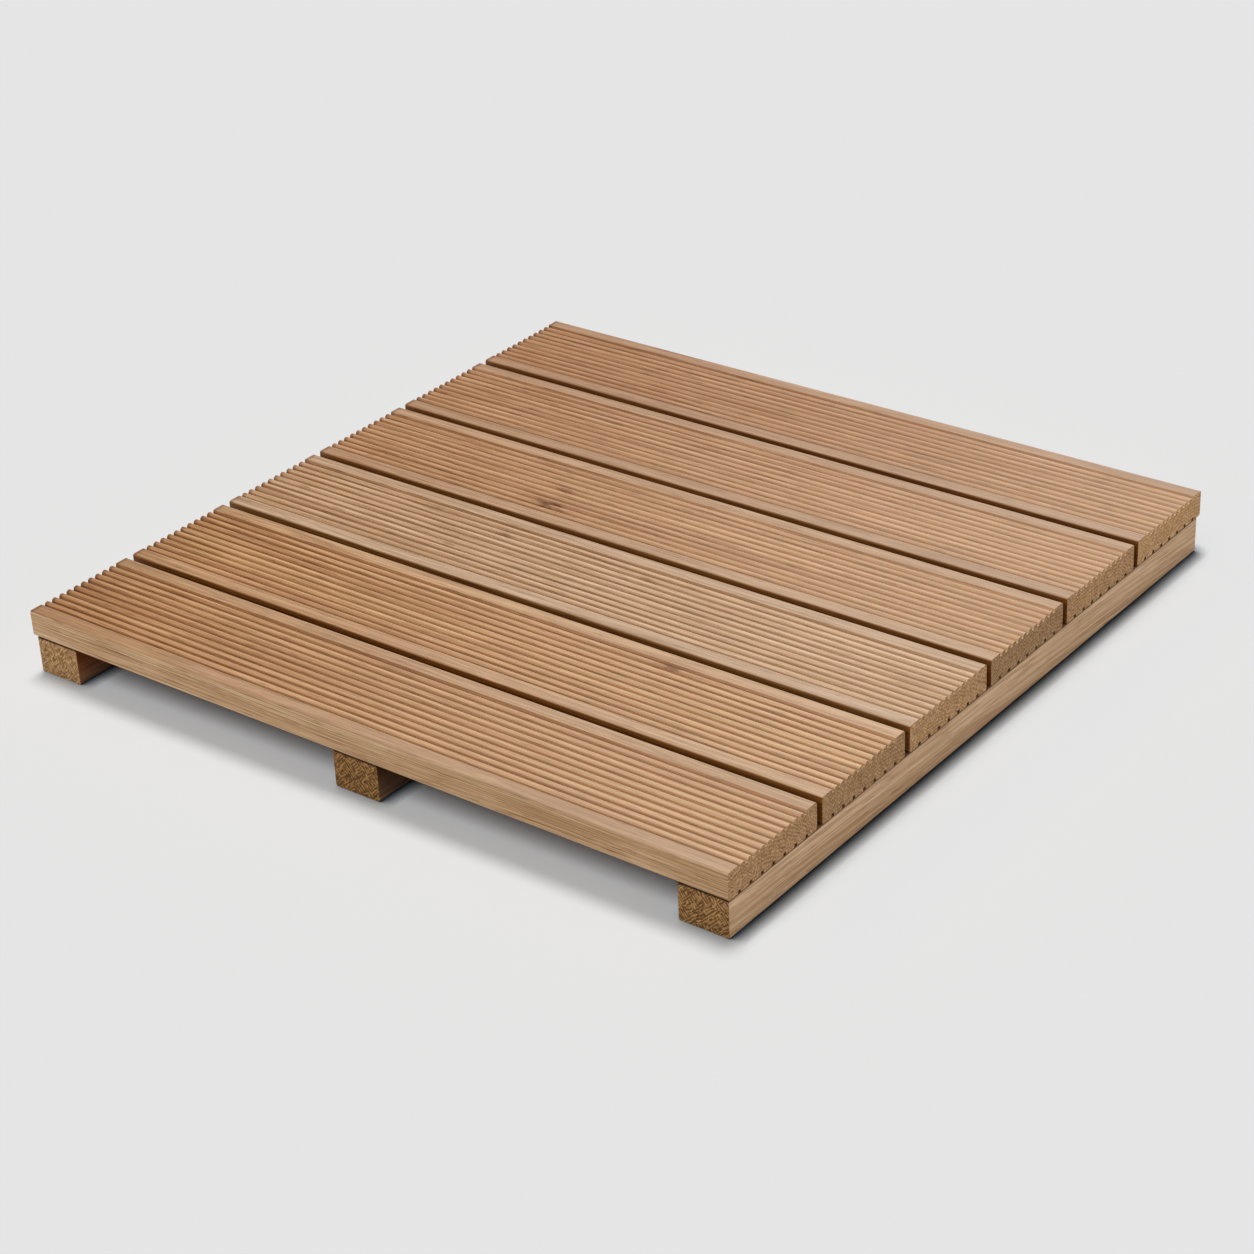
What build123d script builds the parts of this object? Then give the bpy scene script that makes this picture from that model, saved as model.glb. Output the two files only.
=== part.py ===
from build123d import *
from math import atan, degrees, radians, tan
import os

# Deck tile: grooved timber boards laid across three bearers and screwed to them from below.
# Millimetres. X runs along the boards, Y across them from front to back, Z up.
# The origin lies on the ground, under the middle of the boards.

# Deck boards
board_count = 6
board_length = 600.0
board_width = 95.0
board_thickness = 20.0
board_gap = 6.0  # drainage gap between neighbouring boards
top_arris = 1.6  # radius planed along the upper long edges
bottom_arris = 2.0  # radius planed along the lower long edges

# Ribbed walking face
groove_pitch = 7.0
groove_width = 2.8  # between the shoulders of two ribs
groove_floor_width = 2.0
groove_depth = 2.8  # below the crests of the ribs
floor_rise = 0.2  # the hollow floor lifts this much towards its walls
crest_rise = 1.1  # each rib domes up this much from its shoulders
edge_flat = 11.0  # least width of the plain flat along each long edge
flat_arris = 0.6  # radius where a flat drops into the groove beside it

# Relief grooves, which keep the underside of a board from cupping
relief_pitch = 12.0
relief_width = 3.6  # at the mouth
relief_depth = 2.4
relief_side_angle = 76.0
relief_edge = 9.5  # least width of timber outside the outermost relief grooves

# Bearers
bearer_width = 38.0
bearer_height = 28.0
bearer_arris = 1.2
front_inset = 1.0  # the bearers stop this short of the front board's face
back_inset = 4.0  # and this short of the back board's face
left_inset = 3.0  # left bearer in from the left ends of the boards
right_inset = 0.5  # right bearer in from the right ends of the boards

# Countersunk screws, one at each crossing. The screws and their holes are drawn with flat sides,
# and their diameters are measured across the flats.
screw_sides = 10
screw_diameter = 4.0
screw_head_diameter = 8.0
screw_head_angle = 90.0
screw_head_sink = 0.5  # heads lie this far above the undersides of the bearers
screw_point = 5.0  # length of the tapered point
screw_tip_diameter = 0.6
screw_cover = 4.7  # timber left between a screw's point and the groove floors
screw_clearance = 0.1  # all round a screw in its hole

tile_width = board_count * board_width + (board_count - 1) * board_gap
board_middle = bearer_height + board_thickness / 2
board_places = [
    (index - (board_count - 1) / 2) * (board_width + board_gap) for index in range(board_count)
]

groove_count = int((board_width - 2 * edge_flat - groove_width) // groove_pitch) + 1
relief_count = int((board_width - 2 * relief_edge - relief_width) // relief_pitch) + 1

bearer_length = tile_width - front_inset - back_inset
left_place = -board_length / 2 + left_inset + bearer_width / 2
right_place = board_length / 2 - right_inset - bearer_width / 2

# Screws sit on the lands between relief grooves, staggered from bearer to bearer so that
# no two in a board share a line of grain.
screw_stagger = relief_pitch * (1.5 if relief_count % 2 else 1.0)
bearers = {
    "left_bearer": (left_place, screw_stagger),
    "middle_bearer": ((left_place + right_place) / 2, -screw_stagger),
    "right_bearer": (right_place, screw_stagger),
}
screw_bite = board_thickness - groove_depth - screw_cover
screw_length = bearer_height - screw_head_sink + screw_bite
screw_hole_radius = screw_diameter / 2 + screw_clearance
head_flare = tan(radians(screw_head_angle / 2))
head_height = (screw_head_diameter - screw_diameter) / 2 / head_flare
point_angle = degrees(atan((screw_diameter - screw_tip_diameter) / 2 / screw_point))
countersink_radius = screw_head_diameter / 2 + screw_head_sink * head_flare + screw_clearance
countersink_depth = (countersink_radius - screw_hole_radius) / head_flare

os.makedirs("parts", exist_ok=True)

# Section of a board: ribs and grooves above, relief grooves below, all four long edges rounded
face = board_thickness / 2
rib_shoulder = face - crest_rise
flat_shoulder = face - flat_arris
floor = face - groove_depth
first_groove = -groove_pitch * (groove_count - 1) / 2
groove_places = [first_groove + groove_pitch * index for index in range(groove_count)]
flat_end = groove_places[-1] + groove_width / 2 + flat_arris
near_shoulders = [flat_shoulder] + [rib_shoulder] * (groove_count - 1)
far_shoulders = near_shoulders[::-1]

with BuildSketch() as board_profile:
    with BuildLine():
        Line((-board_width / 2, face), (-flat_end, face))
        TangentArc((-flat_end, face), (groove_places[0] - groove_width / 2, flat_shoulder), tangent=(1, 0))
        for place, near, far in zip(groove_places, near_shoulders, far_shoulders):
            Line((place - groove_width / 2, near), (place - groove_floor_width / 2, floor + floor_rise))
            ThreePointArc(
                (place - groove_floor_width / 2, floor + floor_rise),
                (place, floor),
                (place + groove_floor_width / 2, floor + floor_rise),
            )
            Line((place + groove_floor_width / 2, floor + floor_rise), (place + groove_width / 2, far))
        for place in groove_places[:-1]:
            ThreePointArc(
                (place + groove_width / 2, rib_shoulder),
                (place + groove_pitch / 2, face),
                (place + groove_pitch - groove_width / 2, rib_shoulder),
            )
        TangentArc((flat_end, face), (groove_places[-1] + groove_width / 2, flat_shoulder), tangent=(-1, 0))
        Polyline(
            (flat_end, face),
            (board_width / 2, face),
            (board_width / 2, -face),
            (-board_width / 2, -face),
            (-board_width / 2, face),
        )
    make_face()
    fillet(board_profile.vertices().group_by(Axis.Y)[0], bottom_arris)
    face_points = board_profile.vertices().group_by(Axis.Y)[-1].sort_by(Axis.X)
    fillet([face_points[0], face_points[-1]], top_arris)
    with Locations((0, -face)):
        with GridLocations(relief_pitch, 0, relief_count, 1):
            Trapezoid(
                relief_width,
                relief_depth,
                relief_side_angle,
                align=(Align.CENTER, Align.MIN),
                mode=Mode.SUBTRACT,
            )

# Deck boards, numbered from the front edge of the tile to the back
for number, board_y in enumerate(board_places, start=1):
    board_end = Plane(origin=(-board_length / 2, board_y, board_middle), x_dir=(0, 1, 0), z_dir=(1, 0, 0))
    pilot_places = [(bearer_x, board_y + stagger) for bearer_x, stagger in bearers.values()]
    with BuildPart() as deck_board:
        with BuildSketch(board_end):
            add(board_profile.sketch)
        extrude(amount=board_length)
        with BuildSketch(Plane.XY.offset(bearer_height)):
            with Locations(*pilot_places):
                RegularPolygon(screw_hole_radius, screw_sides, major_radius=False)
        extrude(amount=screw_bite + screw_clearance, mode=Mode.SUBTRACT)
    deck_board.part.label = f"deck_board_{number}"
    export_step(deck_board.part, f"parts/deck_board_{number}.step")

# Bearers, sawn and planed square, with a countersunk hole under each board
for name, (bearer_x, stagger) in bearers.items():
    bearer_end = Plane(
        origin=(bearer_x, -tile_width / 2 + front_inset, bearer_height / 2), x_dir=(1, 0, 0), z_dir=(0, 1, 0)
    )
    hole_places = [(bearer_x, board_y + stagger) for board_y in board_places]
    with BuildPart() as bearer:
        with BuildSketch(bearer_end) as section:
            Rectangle(bearer_width, bearer_height)
            fillet(section.vertices(), bearer_arris)
        extrude(amount=bearer_length)
        with BuildSketch():
            with Locations(*hole_places):
                RegularPolygon(countersink_radius, screw_sides, major_radius=False)
        extrude(amount=countersink_depth, taper=screw_head_angle / 2, mode=Mode.SUBTRACT)
        with BuildSketch():
            with Locations(*hole_places):
                RegularPolygon(screw_hole_radius, screw_sides, major_radius=False)
        extrude(amount=bearer_height, mode=Mode.SUBTRACT)
    bearer.part.label = name
    export_step(bearer.part, f"parts/{name}.step")

# Screws, all alike, driven up through the bearers with their heads sunk in the countersinks
with BuildPart() as screw:
    with BuildSketch():
        RegularPolygon(screw_head_diameter / 2, screw_sides, major_radius=False)
    extrude(amount=head_height, taper=screw_head_angle / 2)
    with BuildSketch(Plane.XY.offset(head_height)):
        RegularPolygon(screw_diameter / 2, screw_sides, major_radius=False)
    extrude(amount=screw_length - head_height - screw_point)
    extrude(screw.faces().sort_by(Axis.Z)[-1], amount=screw_point, taper=point_angle)

screw_places = [
    (bearer_x, board_y + stagger, screw_head_sink)
    for bearer_x, stagger in bearers.values()
    for board_y in board_places
]
with BuildPart() as bearer_screws:
    with Locations(*screw_places):
        add(screw.part)
bearer_screws.part.label = "bearer_screws"
export_step(bearer_screws.part, "parts/bearer_screws.step")
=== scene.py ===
from math import cos, pi, radians, sin

import bpy
from mathutils import Matrix, Vector


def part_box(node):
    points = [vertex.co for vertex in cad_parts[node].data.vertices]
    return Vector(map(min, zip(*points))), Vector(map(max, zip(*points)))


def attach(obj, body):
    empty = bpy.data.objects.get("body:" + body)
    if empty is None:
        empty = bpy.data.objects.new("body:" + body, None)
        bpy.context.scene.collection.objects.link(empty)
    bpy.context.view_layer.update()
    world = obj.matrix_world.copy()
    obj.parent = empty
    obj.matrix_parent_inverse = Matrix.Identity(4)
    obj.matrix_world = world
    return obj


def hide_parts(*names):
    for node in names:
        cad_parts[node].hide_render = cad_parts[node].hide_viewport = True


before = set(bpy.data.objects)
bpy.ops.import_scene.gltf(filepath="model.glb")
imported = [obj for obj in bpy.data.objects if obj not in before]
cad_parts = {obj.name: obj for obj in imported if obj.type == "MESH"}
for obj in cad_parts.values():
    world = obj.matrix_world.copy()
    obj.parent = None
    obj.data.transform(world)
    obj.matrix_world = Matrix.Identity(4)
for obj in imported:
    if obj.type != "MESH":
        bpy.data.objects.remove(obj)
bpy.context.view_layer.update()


# Bearers: three hardwood battens that stand on the ground and carry the boards. Their long faces
# are planed, with the grain running from front to back, and their ends are left dark and torn
# by a coarse saw. The sides that face the space under the deck are darkened with painted shade.
def put(tree, kind, inputs=(), **settings):
    """Adds a shader node, sets its options, and links or sets its inputs."""
    made = tree.nodes.new("ShaderNode" + kind)
    for option, value in settings.items():
        setattr(made, option, value)
    for socket, value in dict(inputs).items():
        if isinstance(value, bpy.types.NodeSocket):
            tree.links.new(value, made.inputs[socket])
        else:
            made.inputs[socket].default_value = value
    return made


def combine(tree, operation, first, second=0.0):
    """A calculation with one or two values."""
    return put(tree, "Math", {0: first, 1: second}, operation=operation).outputs[0]


def cells(tree, place, counts):
    """A place in the timber, counted in cells along the grain and across it."""
    return put(tree, "VectorMath", {0: place, 1: counts}, operation="MULTIPLY").outputs[0]


def mottle(tree, place, detail, roughness=0.5):
    """Cloudy noise from 0 to 1, one cloud to a cell."""
    settings = {"Vector": place, "Scale": 1.0, "Detail": detail, "Roughness": roughness}
    return put(tree, "TexNoise", settings).outputs[0]


def between(tree, value, low, high, top=1.0):
    """0 below low, top above high, and a smooth step from one to the other."""
    limits = {"Value": value, "From Min": low, "From Max": high, "To Max": top}
    return put(tree, "MapRange", limits, interpolation_type="SMOOTHSTEP").outputs[0]


def tinted(tree, share, colour, tint, blend="MULTIPLY"):
    """A colour, multiplied by a tint or mixed with it where share is 1."""
    sockets = {0: share, 6: colour, 7: tint}
    return put(tree, "Mix", sockets, data_type="RGBA", blend_type=blend).outputs[2]


def growth_rings(tree, bent, pith, ring_pitch):
    """Lines a ring apart around the pith, that wander and fade as they run along the grain."""
    across = put(tree, "VectorMath", {0: bent, 1: (0, 1, 1)}, operation="MULTIPLY").outputs[0]
    radius = put(tree, "VectorMath", {0: across, 1: pith}, operation="DISTANCE").outputs[1]
    wander = combine(tree, "MULTIPLY", mottle(tree, cells(tree, bent, (7, 75, 75)), 1.0), 8.0)
    turns = combine(tree, "ADD", combine(tree, "MULTIPLY", radius, 2 * pi / ring_pitch), wander)
    lines = between(tree, combine(tree, "SINE", turns), -1.0, 1.0)
    strength = between(tree, mottle(tree, cells(tree, bent, (15, 180, 180)), 1.0), 0.25, 0.6)
    return combine(tree, "MULTIPLY", lines, strength)


def saw_tears(tree, bent, slant):
    """Short parallel tears across a rough-sawn end, from 0 to about 1."""
    tear_pitch = 0.002
    slanted = put(tree, "Mapping", {"Vector": bent, "Rotation": (slant, 0, 0)}).outputs[0]
    across = put(tree, "SeparateXYZ", {0: slanted}).outputs[2]
    wander = combine(tree, "MULTIPLY", mottle(tree, cells(tree, slanted, (60, 120, 240)), 1.0), 9.0)
    turns = combine(tree, "ADD", combine(tree, "MULTIPLY", across, 2 * pi / tear_pitch), wander)
    lines = combine(tree, "MULTIPLY", combine(tree, "SINE", turns), 0.12)
    return combine(tree, "ADD", mottle(tree, cells(tree, slanted, (60, 270, 900)), 1.0), lines)


def sawn_weave(tree, bent):
    """Tears that lie one way or the other across a rough-sawn end, in patches."""
    patch = between(tree, mottle(tree, cells(tree, bent, (1, 130, 130)), 0.0), 0.44, 0.56)
    tears = {0: patch, 2: saw_tears(tree, bent, 0.75), 3: saw_tears(tree, bent, -0.9)}
    return put(tree, "Mix", tears, data_type="FLOAT").outputs[0]


def timber(
    name, grain_axis, cut_from, pith, ring_pitch, ring_depth, pale, deep, end_tone, torn, slope=0.0
):
    """Planed hardwood, patterned through its whole thickness, so that faces and ends agree."""
    fibre_height = 0.0002
    material = bpy.data.materials.new(name)
    material.use_nodes = True
    tree = material.node_tree
    shader = tree.nodes["Principled BSDF"]
    shader.inputs["Specular IOR Level"].default_value = 0.2  # bare wood has little gloss
    coordinates = put(tree, "TexCoord").outputs
    turn = -pi / 2 if grain_axis == "Y" else 0.0
    log = {"Vector": coordinates["Object"], "Location": cut_from, "Rotation": (slope, 0, turn)}
    grain = put(tree, "Mapping", log).outputs[0]

    sway = put(tree, "TexNoise", {"Vector": cells(tree, grain, (2.4, 9, 9)), "Scale": 1.0}).outputs[1]
    swayed = {0: sway, 1: (0, 0.01, 0.01), 2: grain}
    bent = put(tree, "VectorMath", swayed, operation="MULTIPLY_ADD").outputs[0]
    rings = growth_rings(tree, bent, pith, ring_pitch)
    bands = mottle(tree, cells(tree, bent, (1.3, 70, 70)), 2.0)
    streaks = mottle(tree, cells(tree, bent, (7, 760, 760)), 2.0, 0.6)
    fibres = mottle(tree, cells(tree, bent, (20, 1500, 1500)), 2.0, 0.6)
    pores = between(tree, mottle(tree, cells(tree, bent, (45, 1000, 1000)), 1.0), 0.6, 0.7)

    long_face = tinted(tree, between(tree, bands, 0.36, 0.64), pale, deep, "MIX")
    ring_share = combine(tree, "MULTIPLY", rings, ring_depth)
    long_face = tinted(tree, ring_share, long_face, (0.7, 0.61, 0.5, 1))
    long_face = tinted(tree, between(tree, streaks, 0.42, 0.6, 0.8), long_face, (0.76, 0.69, 0.6, 1))
    long_face = tinted(tree, between(tree, fibres, 0.42, 0.62, 0.8), long_face, (0.8, 0.74, 0.66, 1))
    long_face = tinted(tree, combine(tree, "MULTIPLY", pores, 0.6), long_face, (0.5, 0.4, 0.3, 1))

    tears = sawn_weave(tree, bent)
    end_face = tinted(tree, between(tree, tears, 0.4, 0.58, torn), end_tone, (0.3, 0.23, 0.15, 1))
    end_face = tinted(tree, combine(tree, "MULTIPLY", rings, 0.65), end_face, (0.6, 0.52, 0.44, 1))
    end_face = tinted(tree, between(tree, streaks, 0.42, 0.58, 0.9), end_face, (0.72, 0.66, 0.58, 1))
    end_face = tinted(tree, combine(tree, "MULTIPLY", pores, 0.5), end_face, (0.45, 0.36, 0.3, 1))

    axis = (0, 1, 0) if grain_axis == "Y" else (1, 0, 0)
    along_grain = {0: coordinates["Normal"], 1: axis}
    facing = put(tree, "VectorMath", along_grain, operation="DOT_PRODUCT").outputs[1]
    at_end = between(tree, combine(tree, "ABSOLUTE", facing), 0.6, 0.9)
    faces = put(tree, "Mix", {0: at_end, 6: long_face, 7: end_face}, data_type="RGBA")
    faces.name = "faces"
    tree.links.new(faces.outputs[2], shader.inputs["Base Color"])

    raised = combine(tree, "SUBTRACT", combine(tree, "ADD", fibres, streaks), pores)
    depth_of_tears = combine(tree, "MULTIPLY", combine(tree, "MULTIPLY", tears, 3.0 * torn), at_end)
    height = combine(tree, "SUBTRACT", raised, depth_of_tears)
    relief = {"Height": height, "Strength": 0.5, "Distance": fibre_height}
    tree.links.new(put(tree, "Bump", relief).outputs[0], shader.inputs["Normal"])
    dull_streaks = between(tree, streaks, 0.35, 0.7, 0.12)
    dullness = combine(tree, "ADD", dull_streaks, between(tree, at_end, 0, 1, 0.3))
    tree.links.new(combine(tree, "ADD", dullness, 0.45), shader.inputs["Roughness"])
    return material


def shade(material, mask, tint, blend="MULTIPLY", ends_too=False):
    """Tints a timber's long faces, or all its faces, where the mask is 1."""
    tree = material.node_tree
    socket = tree.nodes["faces"].inputs[6]
    if ends_too:
        socket = tree.nodes["Principled BSDF"].inputs["Base Color"]
    tree.links.new(tinted(tree, mask, socket.links[0].from_socket, tint, blend), socket)


def axes(tree):
    """The three coordinates of a place, in metres."""
    return put(tree, "SeparateXYZ", {0: put(tree, "TexCoord").outputs["Object"]}).outputs


bearer_cuts = {
    "left_bearer": (0.31, 0.62, 0.17),
    "middle_bearer": (1.27, 0.08, 0.53),
    "right_bearer": (2.18, 0.44, 0.29),
}
bearer_ends = {
    "left_bearer": ((0.72, 0.445, 0.215, 1), 0.7),
    "middle_bearer": ((0.46, 0.255, 0.09, 1), 0.9),
    "right_bearer": ((0.53, 0.31, 0.123, 1), 0.9),
}
shaded_side_tones = {
    "left_bearer": (0.32, 0.09, 0, 1),
    "middle_bearer": (0.11, 0.035, 0, 1),
    "right_bearer": (0.11, 0.035, 0, 1),
}
shaded_sides = {"left_bearer": (1,), "middle_bearer": (-1, 1), "right_bearer": (-1,)}
shade_fade = 0.04  # the painted shade thins out downwards, as if to this far below the ground
face_skin = 0.0009  # an inner face is marked this deep, which leaves the rounded edges out
shaded_strip = 0.0022  # painted shade right under the boards
pith_beside, pith_below = 0.04, 0.05  # from the middle line of a bearer's underside
for bearer, cut_from in bearer_cuts.items():
    low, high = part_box(bearer)
    middle = (low + high) / 2
    pith = (0, cut_from[1] - middle.x - pith_beside, cut_from[2] - pith_below)
    end_tone, torn = bearer_ends[bearer]
    bearer_timber = timber(
        f"{bearer}_timber",
        "Y",
        cut_from,
        pith,
        ring_pitch=0.005,
        ring_depth=0.35,
        pale=(0.7, 0.485, 0.305, 1),
        deep=(0.62, 0.406, 0.24, 1),
        end_tone=end_tone,
        torn=torn,
        slope=0.05,
    )
    tree = bearer_timber.node_tree
    x, y, z = axes(tree)
    half_width = (high.x - low.x) / 2
    # painted shade on the sides that face the space under the deck, darkest right under the boards
    for side in shaded_sides[bearer]:
        reach = combine(tree, "MULTIPLY", combine(tree, "SUBTRACT", x, middle.x), side)
        inner_face = between(tree, reach, half_width - face_skin, half_width - face_skin / 3)
        painted_shade = combine(tree, "MULTIPLY", inner_face, between(tree, z, low.z - shade_fade, high.z))
        shade(bearer_timber, painted_shade, shaded_side_tones[bearer])
    # painted shade along the top of each bearer, in the crease where the boards rest on it
    shade_under_boards = between(tree, z, high.z - shaded_strip, high.z - 0.0008)
    shade(bearer_timber, shade_under_boards, (0.16, 0.11, 0.07, 1), ends_too=True)
    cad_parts[bearer].data.materials.clear()
    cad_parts[bearer].data.materials.append(bearer_timber)


# Deck boards: six hardwood boards, moulded with narrow ribs so that they aren't slippery underfoot,
# rounded along their long edges and cross-cut square. They lie side by side across the bearers,
# with a gap between each two for the rain, and a painted sheen makes them paler towards the right.
board_tones = {
    "deck_board_1": ((0.61, 0.351, 0.174, 1), (0.548, 0.293, 0.138, 1), 0.98),
    "deck_board_2": ((0.66, 0.395, 0.194, 1), (0.594, 0.326, 0.156, 1), 0.88),
    "deck_board_3": ((0.681, 0.454, 0.282, 1), (0.615, 0.387, 0.23, 1), 1.06),
    "deck_board_4": ((0.609, 0.366, 0.202, 1), (0.546, 0.307, 0.16, 1), 0.8),
    "deck_board_5": ((0.601, 0.354, 0.199, 1), (0.538, 0.304, 0.162, 1), 1.0),
    "deck_board_6": ((0.552, 0.321, 0.178, 1), (0.498, 0.271, 0.142, 1), 1.2),
}
board_end_tone = Vector((0.567, 0.347, 0.173))
ring_depths = (0.6, 0.8, 0.75, 0.55, 0.5, 0.5)  # how plainly the growth rings show, front board first
flat_tones = (0.82, 0.87, 0.84, 0.85, 0.8, 0.86)  # of the plain flats beside the ribs
# tints in the grooves: a slight one on the front boards, and on the back boards painted light that
# lifts the grooves' shade
plain_groove_tint = (0.94, 0.96, 0.88, 1)
groove_painted_light = {
    "deck_board_4": (1.22, 1.34, 1.35, 1),
    "deck_board_5": (1.22, 1.34, 1.35, 1),
    "deck_board_6": (1.36, 1.48, 1.5, 1),
}
# painted sheen: the top faces turn paler and greyer towards the right ends
sheen_tone = (0.94, 0.73, 0.53, 1)
sheen_share = 0.27  # at the right ends, and none at the left
gap_shade = (0.48, 0.32, 0.12, 1)  # painted shade on a long edge that lies in a gap
painted_light_edge = (1.41, 1.78, 2.24, 1)  # painted light on the front edge and the back edge of the tile
edge_depth = 0.0007  # these tints go in this far
rib_reach = 0.0367  # half the width of the ribbed strip
ribbed_depth = 0.004  # takes in the ribs and the grooves
groove_depth = 0.0028
relief_reach = 0.045  # half the width of the strip with relief grooves underneath
relief_depth = 0.0025
rim_width = 0.0045  # the left ends are dark along their rims
dim_length = 0.07  # the two front boards are a little darker this far from their left ends
fine_line_pitch = 0.0016  # of the fine lines along the front face
knots = {  # place along and across the tile, length, width and strength
    "deck_board_2": [(0.126, -0.12, 0.06, 0.018, 0.75)],
    "deck_board_3": [(-0.092, -0.028, 0.05, 0.014, 0.5), (0.037, -0.028, 0.03, 0.01, 0.25)],
    "deck_board_4": [(-0.094, 0.027, 0.075, 0.024, 1.0), (-0.098, 0.052, 0.05, 0.014, 0.4)],
}


def knot(material, x, y, length, width, strength):
    """A small knot in a board's face: a dark heart in a reddish halo, drawn out along the grain."""
    tree = material.node_tree
    place = put(tree, "TexCoord").outputs["Object"]
    from_heart = put(tree, "VectorMath", {0: place, 1: (x, y, 0)}, operation="SUBTRACT").outputs[0]
    ragged = combine(tree, "MULTIPLY", mottle(tree, cells(tree, place, (60, 600, 0)), 2.0, 0.7), 2.4)
    for span, share, tint in ((1.0, 0.45, (0.72, 0.58, 0.45, 1)), (0.42, 1.0, (0.28, 0.18, 0.11, 1))):
        halves = {0: from_heart, 1: (2 / (span * length), 2 / (span * width), 0)}
        reach = put(tree, "VectorMath", halves, operation="MULTIPLY").outputs[0]
        reach = put(tree, "VectorMath", {0: reach}, operation="LENGTH").outputs[1]
        marked = between(tree, combine(tree, "ADD", reach, ragged), 2.2, 1.4, share * strength)
        shade(material, marked, tint)


for number, (board, (pale, deep, end_shade)) in enumerate(board_tones.items(), start=1):
    low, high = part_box(board)
    middle = (low + high) / 2
    cut_from = (0.73 * number, 0.41 * number, 0.19 * number)
    pith_aside, pith_depth = 0.02 * (-1) ** number, 0.06 + 0.01 * number
    pith = (0, middle.y + cut_from[1] + pith_aside, middle.z + cut_from[2] - pith_depth)
    board_timber = timber(
        f"{board}_timber",
        "X",
        cut_from,
        pith,
        ring_pitch=0.0027,
        ring_depth=ring_depths[number - 1],
        pale=pale,
        deep=deep,
        end_tone=(*(board_end_tone * end_shade), 1),
        torn=0.4,
    )
    tree = board_timber.node_tree
    x, y, z = axes(tree)
    offset = combine(tree, "ABSOLUTE", combine(tree, "SUBTRACT", y, middle.y))
    inside = between(tree, offset, rib_reach + 0.0003, rib_reach)
    front_edge = between(tree, y, low.y + edge_depth, low.y)
    back_edge = between(tree, y, high.y - edge_depth, high.y)
    top_side = combine(tree, "SUBTRACT", combine(tree, "SUBTRACT", 1.0, front_edge), back_edge)

    # painted sheen on the top faces, growing towards the right ends
    painted_sheen = between(tree, x, low.x - 0.05, high.x + 0.05, sheen_share)
    shade(board_timber, combine(tree, "MULTIPLY", painted_sheen, top_side), sheen_tone, "MIX")
    near_top = between(tree, z, high.z - 0.0012, high.z - 0.0004)
    planed = combine(tree, "MULTIPLY", combine(tree, "SUBTRACT", 1.0, inside), near_top)
    flat_tone = flat_tones[number - 1]
    shade(board_timber, planed, (flat_tone, 1.02 * flat_tone, 1.06 * flat_tone, 1))
    rim = between(tree, x, low.x + rim_width, low.x + 0.001)
    left_rim = combine(tree, "MULTIPLY", rim, top_side)
    shade(board_timber, left_rim, (0.6, 0.5, 0.42, 1))
    if number <= 2:
        left_end = combine(tree, "MULTIPLY", between(tree, x, low.x + dim_length, low.x), top_side)
        shade(board_timber, left_end, (0.88, 0.87, 0.86, 1))
    # the grooves' tint, which on the back boards is painted light that lifts their shade
    depth = combine(tree, "SUBTRACT", high.z, z)
    in_groove = combine(tree, "MULTIPLY", inside, combine(tree, "LESS_THAN", depth, ribbed_depth))
    sunk = combine(tree, "MULTIPLY", between(tree, depth, 0.0008, groove_depth), in_groove)
    shade(board_timber, sunk, groove_painted_light.get(board, plain_groove_tint))
    # painted shade in the relief grooves underneath, where they show at the board ends
    low_down = combine(tree, "LESS_THAN", z, low.z + relief_depth)
    relief_shade = combine(tree, "MULTIPLY", low_down, combine(tree, "LESS_THAN", offset, relief_reach))
    shade(board_timber, relief_shade, (0.38, 0.31, 0.24, 1))
    for marks in knots.get(board, []):
        knot(board_timber, *marks)

    # painted shade on the edges in the gaps, and painted light on the tile's front and back edges
    shade(board_timber, front_edge, painted_light_edge if number == 1 else gap_shade)
    shade(board_timber, back_edge, painted_light_edge if number == len(board_tones) else gap_shade)
    if number == 1:
        browner = combine(tree, "MULTIPLY", front_edge, between(tree, x, low.x, high.x))
        shade(board_timber, browner, (0.8, 0.74, 0.67, 1))
        place = put(tree, "TexCoord").outputs["Object"]
        far_below = (0, low.y, -1.0)  # lines around a pith so far away are straight
        fine_lines = growth_rings(tree, place, far_below, fine_line_pitch)
        shade(board_timber, combine(tree, "MULTIPLY", front_edge, fine_lines), (0.76, 0.71, 0.64, 1))
    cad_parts[board].data.materials.clear()
    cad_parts[board].data.materials.append(board_timber)


# Screws: stainless countersunk wood screws with a square drive, one at each crossing, driven up
# through the bearers into the boards. Each is turned from wire, and its thread is rolled on.
screws_low, screws_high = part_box("bearer_screws")
screw_length = screws_high.z - screws_low.z
head_radius = 0.004
head_height = 0.0025
core_radius = 0.0015
thread_radius = 0.002
point_length = 0.005
tip_share = 0.15  # of the core, at the end of the point
drive_width = 0.0024
drive_depth = 0.0018
thread_pitch = 0.0018
thread_turns = 12
thread_root = 0.0001  # the thread starts this deep in the core
screw_stagger = 0.018

steel = bpy.data.materials.new("screw_steel")
steel.use_nodes = True
steel_shader = steel.node_tree.nodes["Principled BSDF"]
steel_shader.inputs["Base Color"].default_value = (0.55, 0.54, 0.52, 1)
steel_shader.inputs["Metallic"].default_value = 1.0
steel_shader.inputs["Roughness"].default_value = 0.35

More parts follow.
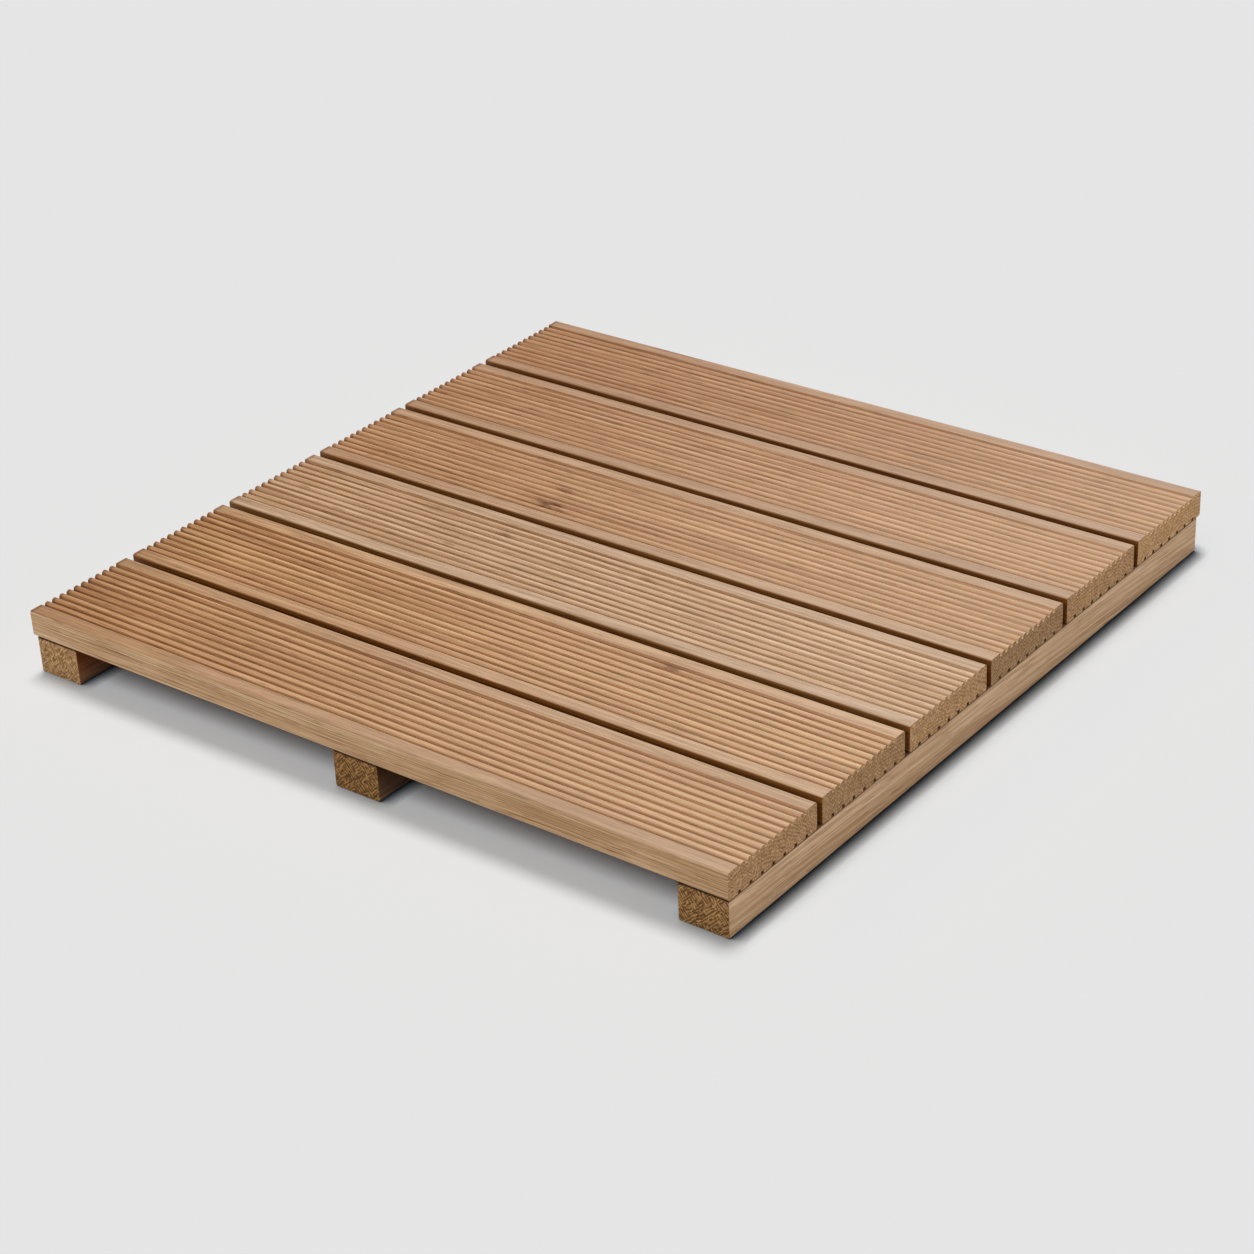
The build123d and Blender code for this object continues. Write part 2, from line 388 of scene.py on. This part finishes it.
bpy.ops.object.select_all(action="DESELECT")
bpy.ops.mesh.primitive_cone_add(
    vertices=24,
    radius1=head_radius,
    radius2=core_radius,
    depth=head_height,
    location=(0, 0, head_height / 2),
)
screw = bpy.context.object
screw.name = "screw"
bpy.ops.object.transform_apply(location=True)
for face in screw.data.polygons:
    face.select = face.normal.z > 0.9
bpy.ops.object.mode_set(mode="EDIT")
bpy.ops.mesh.select_mode(type="FACE")
shank_length = screw_length - head_height - point_length
bpy.ops.mesh.extrude_region_move(TRANSFORM_OT_translate={"value": (0, 0, shank_length)})
bpy.ops.mesh.extrude_region_move(TRANSFORM_OT_translate={"value": (0, 0, point_length)})
bpy.ops.transform.resize(value=(tip_share, tip_share, 1))
bpy.ops.object.mode_set(mode="OBJECT")

bpy.ops.mesh.primitive_cube_add(size=1.0, location=(0, 0, 0))
drive = bpy.context.object
drive.scale = (drive_width, drive_width, 2 * drive_depth)
bpy.ops.object.transform_apply(location=True, scale=True)
bpy.ops.object.select_all(action="DESELECT")
screw.select_set(True)
bpy.context.view_layer.objects.active = screw
recess = screw.modifiers.new("recess", "BOOLEAN")
recess.object = drive
bpy.ops.object.modifier_apply(modifier=recess.name)
bpy.data.objects.remove(drive)

bpy.ops.object.select_all(action="DESELECT")
thread_depth = thread_radius - core_radius + thread_root
bpy.ops.mesh.primitive_circle_add(vertices=3, radius=thread_depth / 1.5, rotation=(pi / 2, 0, 0))
thread = bpy.context.object
bpy.ops.object.transform_apply(rotation=True)
bpy.ops.object.mode_set(mode="EDIT")
bpy.ops.mesh.select_all(action="SELECT")
bpy.ops.transform.rotate(value=pi / 2, orient_axis="Y", center_override=(0, 0, 0))
bpy.ops.object.mode_set(mode="OBJECT")
outermost = max(corner.co.x for corner in thread.data.vertices)
thread_start = screw_length - point_length - thread_pitch * thread_turns
thread.data.transform(Matrix.Translation((thread_radius - outermost, 0, thread_start)))
wound = thread.modifiers.new("wound", "SCREW")
wound.axis = "Z"
wound.angle = 2 * pi
wound.screw_offset = thread_pitch
wound.iterations = thread_turns
wound.steps = wound.render_steps = 16
bpy.ops.object.modifier_apply(modifier=wound.name)
bpy.ops.object.mode_set(mode="EDIT")
bpy.ops.mesh.select_all(action="SELECT")
bpy.ops.mesh.fill_holes(sides=3)
bpy.ops.mesh.select_all(action="SELECT")
bpy.ops.mesh.normals_make_consistent(inside=False)
bpy.ops.object.mode_set(mode="OBJECT")

screw.select_set(True)
bpy.context.view_layer.objects.active = screw
bpy.ops.object.join()
bpy.ops.object.shade_smooth_by_angle(angle=radians(35))
screw.data.materials.clear()
screw.data.materials.append(steel)

bpy.ops.object.select_all(action="DESELECT")
for bearer in bearer_cuts:
    bearer_low, bearer_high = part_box(bearer)
    bearer_x = (bearer_low.x + bearer_high.x) / 2
    stagger = -screw_stagger if bearer == "middle_bearer" else screw_stagger
    for board in board_tones:
        board_low, board_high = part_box(board)
        board_y = (board_low.y + board_high.y) / 2
        driven = screw.copy()
        driven.data = screw.data.copy()
        driven.data.transform(Matrix.Translation((bearer_x, board_y + stagger, screws_low.z)))
        bpy.context.scene.collection.objects.link(driven)
        driven.select_set(True)
        bpy.context.view_layer.objects.active = driven
bpy.data.objects.remove(screw)
bpy.ops.object.join()
driven_screws = bpy.context.object
driven_screws.name = "driven_screws"
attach(driven_screws, "root")
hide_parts("bearer_screws")


# Floor: a plain pale sheet that the tile stands on. A painted shadow darkens it close beside the
# bearers, most of all to their right, and the world behind it has the same tone.
floor_tone = (0.784, 0.784, 0.784, 1)
floor_drop = 0.0002  # keeps the floor clear of the undersides of the bearers
wide_reach, near_reach, contact_reach = 0.1, 0.027, 0.012  # of the three painted shadows, from faint to dark
light_lean, light_turn = radians(40), radians(30)  # the floor's open side: to the left and forward
bpy.ops.object.select_all(action="DESELECT")
bpy.ops.mesh.primitive_plane_add(size=16.0, location=(0, 0, -floor_drop))
floor = bpy.context.object
floor.name = "floor"
bpy.ops.object.transform_apply(location=True)
floor_paper = bpy.data.materials.new("floor_paper")
floor_paper.use_nodes = True
floor_tree = floor_paper.node_tree
floor_shader = floor_tree.nodes["Principled BSDF"]
towards_light = {
    0: -sin(light_lean) * cos(light_turn),
    1: -sin(light_lean) * sin(light_turn),
    2: cos(light_lean),
}
leaning = put(floor_tree, "CombineXYZ", towards_light).outputs[0]
# painted shadows in the floor's colour, where ambient occlusion finds the tile nearby
far_round = {"Distance": wide_reach, "Normal": leaning}
open_round = put(floor_tree, "AmbientOcclusion", far_round, samples=4).outputs["AO"]
beside_tile = combine(floor_tree, "SUBTRACT", 1.0, open_round)
floor_colour = tinted(floor_tree, beside_tile, floor_tone, (0.87, 0.915, 0.955, 1))
open_nearby = put(floor_tree, "AmbientOcclusion", {"Distance": near_reach}, samples=4).outputs["AO"]
beside_bearers = combine(floor_tree, "SUBTRACT", 1.0, open_nearby)
floor_colour = tinted(floor_tree, beside_bearers, floor_colour, (0.88, 0.95, 1, 1))
close_round = {"Distance": contact_reach, "Normal": leaning}
open_close = put(floor_tree, "AmbientOcclusion", close_round, samples=12).outputs["AO"]
contact = combine(floor_tree, "MULTIPLY", combine(floor_tree, "SUBTRACT", 1.0, open_close), 1.5)
floor_colour = tinted(floor_tree, contact, floor_colour, (0, 0.015, 0.03, 1))
floor_tree.links.new(floor_colour, floor_shader.inputs["Base Color"])
floor_shader.inputs["Roughness"].default_value = 1.0
floor_shader.inputs["Specular IOR Level"].default_value = 0.0
floor.data.materials.append(floor_paper)


# Light: a soft lamp high above the tile, a lower one behind it that gives the flats their sheen, weak
# ones in front and on the right, and a dim even room. The floor has two lamps of its own, and the last
# board doesn't shade the one in front, so that the tile throws no shadow backwards.
def lamp(name, azimuth, elevation, spread, level_light, lit, shaded_by=None):
    """A far lamp; level_light is what it adds on a level surface, where all the lamps make about 1."""
    turn, rise = radians(azimuth), radians(elevation)
    towards = Vector((sin(turn) * cos(rise), -cos(turn) * cos(rise), sin(rise)))
    light = bpy.data.lights.new(name, "SUN")
    light.energy = level_light * pi / sin(rise)
    light.angle = radians(spread)
    holder = bpy.data.objects.new(name, light)
    holder.rotation_mode = "QUATERNION"
    holder.rotation_quaternion = towards.to_track_quat("Z", "Y")
    bpy.context.scene.collection.objects.link(holder)
    holder.light_linking.receiver_collection = lit
    if shaded_by:
        holder.light_linking.blocker_collection = shaded_by


lit_tile = bpy.data.collections.new("lit_tile")
for piece in [*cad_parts.values(), driven_screws]:
    lit_tile.objects.link(piece)
lit_floor = bpy.data.collections.new("lit_floor")
lit_floor.objects.link(floor)
front_boards = bpy.data.collections.new("front_boards")
for board in list(board_tones)[:-1]:
    front_boards.objects.link(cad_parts[board])
lamp("tile_lamp", azimuth=218, elevation=75, spread=24, level_light=0.45, lit=lit_tile)
lamp("back_lamp", azimuth=204, elevation=49, spread=20, level_light=0.22, lit=lit_tile)
lamp("front_lamp", azimuth=0, elevation=28, spread=30, level_light=0.15, lit=lit_tile)
lamp("side_lamp", azimuth=90, elevation=28, spread=30, level_light=0.17, lit=lit_tile)
lamp("floor_lamp", azimuth=212.7, elevation=72.8, spread=20, level_light=0.45, lit=lit_floor)
lamp("floor_front_lamp", 0, 50, spread=40, level_light=0.47, lit=lit_floor, shaded_by=front_boards)
room_light = 0.08
world = bpy.data.worlds.new("room")
bpy.context.scene.world = world
world.use_nodes = True
room = world.node_tree
rays = put(room, "LightPath").outputs
seen = combine(room, "MAXIMUM", rays["Is Camera Ray"], rays["Is Transmission Ray"])
seen = combine(room, "MAXIMUM", seen, rays["Is Glossy Ray"])
background = room.nodes["Background"]
tone = tinted(room, seen, (room_light,) * 3 + (1,), floor_tone, "MIX")
room.links.new(tone, background.inputs["Color"])
background.inputs["Strength"].default_value = 1.0


# Camera: a longish lens at the photograph's angle, looking down on the front right corner of the tile
# from about two metres away, and turned a little about its line of sight.
camera_distance = 2.074
azimuth, elevation, roll = radians(38.29), radians(29.07), radians(-2.74)
aim = Vector((0.0418, -0.0578, 0.024))
back = Vector((sin(azimuth) * cos(elevation), -cos(azimuth) * cos(elevation), sin(elevation)))
camera_data = bpy.data.cameras.new("camera")
camera_data.sensor_width = 36.0
camera_data.lens = 85.06
camera = bpy.data.objects.new("camera", camera_data)
bpy.context.scene.collection.objects.link(camera)
camera.rotation_mode = "QUATERNION"
rolled = Matrix.Rotation(roll, 3, "Z").to_quaternion()
camera.rotation_quaternion = back.to_track_quat("Z", "Y") @ rolled
camera.location = aim + back * camera_distance
bpy.context.scene.camera = camera
bpy.context.scene.view_settings.view_transform = "Standard"
